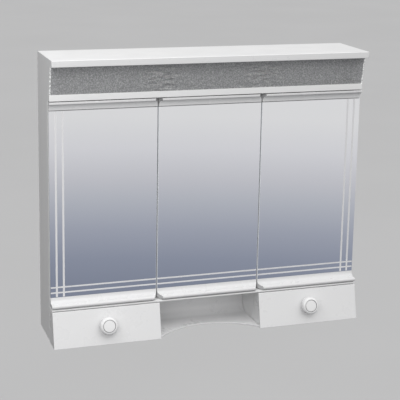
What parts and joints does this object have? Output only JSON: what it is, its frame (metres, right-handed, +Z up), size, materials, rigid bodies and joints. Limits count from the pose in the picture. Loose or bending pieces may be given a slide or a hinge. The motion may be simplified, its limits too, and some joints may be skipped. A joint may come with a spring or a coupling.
{
  "type": "mirror cabinet",
  "caption": "Wall-hung bathroom mirror cabinet with hinged mirror doors over glass shelves, a light crown behind a textured diffuser, and small drawers beside an open bay.",
  "frame": {"origin": "middle of the back panel's rear face, where it meets the wall", "axes": "+X to the viewer's right, +Y into the wall, +Z up; the doors face -Y"},
  "size_m": [0.65, 0.1511, 0.57],
  "materials": {
    "carcass": "white satin lacquer on fibreboard",
    "moulding": "white, satin gloss",
    "inner_plastic": "white, moulded",
    "reflector": "white enamel",
    "mirror": "silvered glass with frosted lines",
    "shelf_glass": "clear, polished edges",
    "diffuser": "hammered clear acrylic",
    "bulb": "opal",
    "steel": "zinc plated",
    "rubber": "matt",
    "magnet": "matt black"
  },
  "bodies": {
    "cabinet": {"back_panel": "carcass", "bay_tray": "moulding", "cabinet_floor": "carcass", "cable_gland": "rubber", "left_bay_wall": "carcass", "left_bottom_hinge_pin": "steel", "left_catch_magnet": "magnet", "left_drawer_base": "carcass", "left_hanger": "steel", "left_lamp_bulb": "bulb", "left_lamp_holder": "inner_plastic", "left_partition": "carcass", "left_shelf_lower": "shelf_glass", "left_shelf_upper": "shelf_glass", "left_side_panel": "carcass", "left_top_hinge_pin": "steel", "lid": "carcass", "light_diffuser": "diffuser", "light_divider": "carcass", "middle_bottom_hinge_pin": "steel", "middle_catch_magnet": "magnet", "middle_shelf_lower": "shelf_glass", "middle_shelf_upper": "shelf_glass", "middle_top_hinge_pin": "steel", "reflector": "reflector", "right_bay_wall": "carcass", "right_bottom_hinge_pin": "steel", "right_catch_magnet": "magnet", "right_drawer_base": "carcass", "right_hanger": "steel", "right_lamp_bulb": "bulb", "right_lamp_holder": "inner_plastic", "right_partition": "carcass", "right_shelf_lower": "shelf_glass", "right_shelf_upper": "shelf_glass", "right_side_panel": "carcass", "right_top_hinge_pin": "steel", "switch_housing": "inner_plastic", "terminal_block": "inner_plastic"},
    "left_door": {"left_door_frame": "moulding", "left_mirror": "mirror", "left_strike_plate": "steel"},
    "middle_door": {"middle_door_frame": "moulding", "middle_mirror": "mirror", "middle_strike_plate": "steel"},
    "right_door": {"right_door_frame": "moulding", "right_mirror": "mirror", "right_strike_plate": "steel"},
    "left_drawer": {"left_drawer_box": "inner_plastic", "left_drawer_front": "moulding", "left_knob": "moulding", "left_knob_cap": "moulding", "left_knob_screw": "steel"},
    "right_drawer": {"right_drawer_box": "inner_plastic", "right_drawer_front": "moulding", "right_knob": "moulding", "right_knob_cap": "moulding", "right_knob_screw": "steel"},
    "switch_rocker_body": {"switch_rocker": "inner_plastic"}
  },
  "joints": [
    {"name": "left_door_hinge", "type": "hinge", "parent": "cabinet", "child": "left_door", "pos_m": [-0.319, -0.108, -0.00295], "axis": [0, 0, -1], "range_deg": [0, 110]},
    {"name": "middle_door_hinge", "type": "hinge", "parent": "cabinet", "child": "middle_door", "pos_m": [-0.08683, -0.108, -0.00295], "axis": [0, 0, -1], "range_deg": [0, 95]},
    {"name": "right_door_hinge", "type": "hinge", "parent": "cabinet", "child": "right_door", "pos_m": [0.319, -0.108, -0.00295], "axis": [0, 0, 1], "range_deg": [0, 110]},
    {"name": "left_drawer_slide", "type": "slide", "parent": "cabinet", "child": "left_drawer", "axis": [0, -1, 0], "range_m": [0, 0.07]},
    {"name": "right_drawer_slide", "type": "slide", "parent": "cabinet", "child": "right_drawer", "axis": [0, -1, 0], "range_m": [0, 0.07]},
    {"name": "light_switch_rocker", "type": "hinge", "parent": "cabinet", "child": "switch_rocker_body", "pos_m": [0.275, -0.078, 0.1892], "axis": [0, 1, 0], "range_deg": [0, 14]}
  ]
}
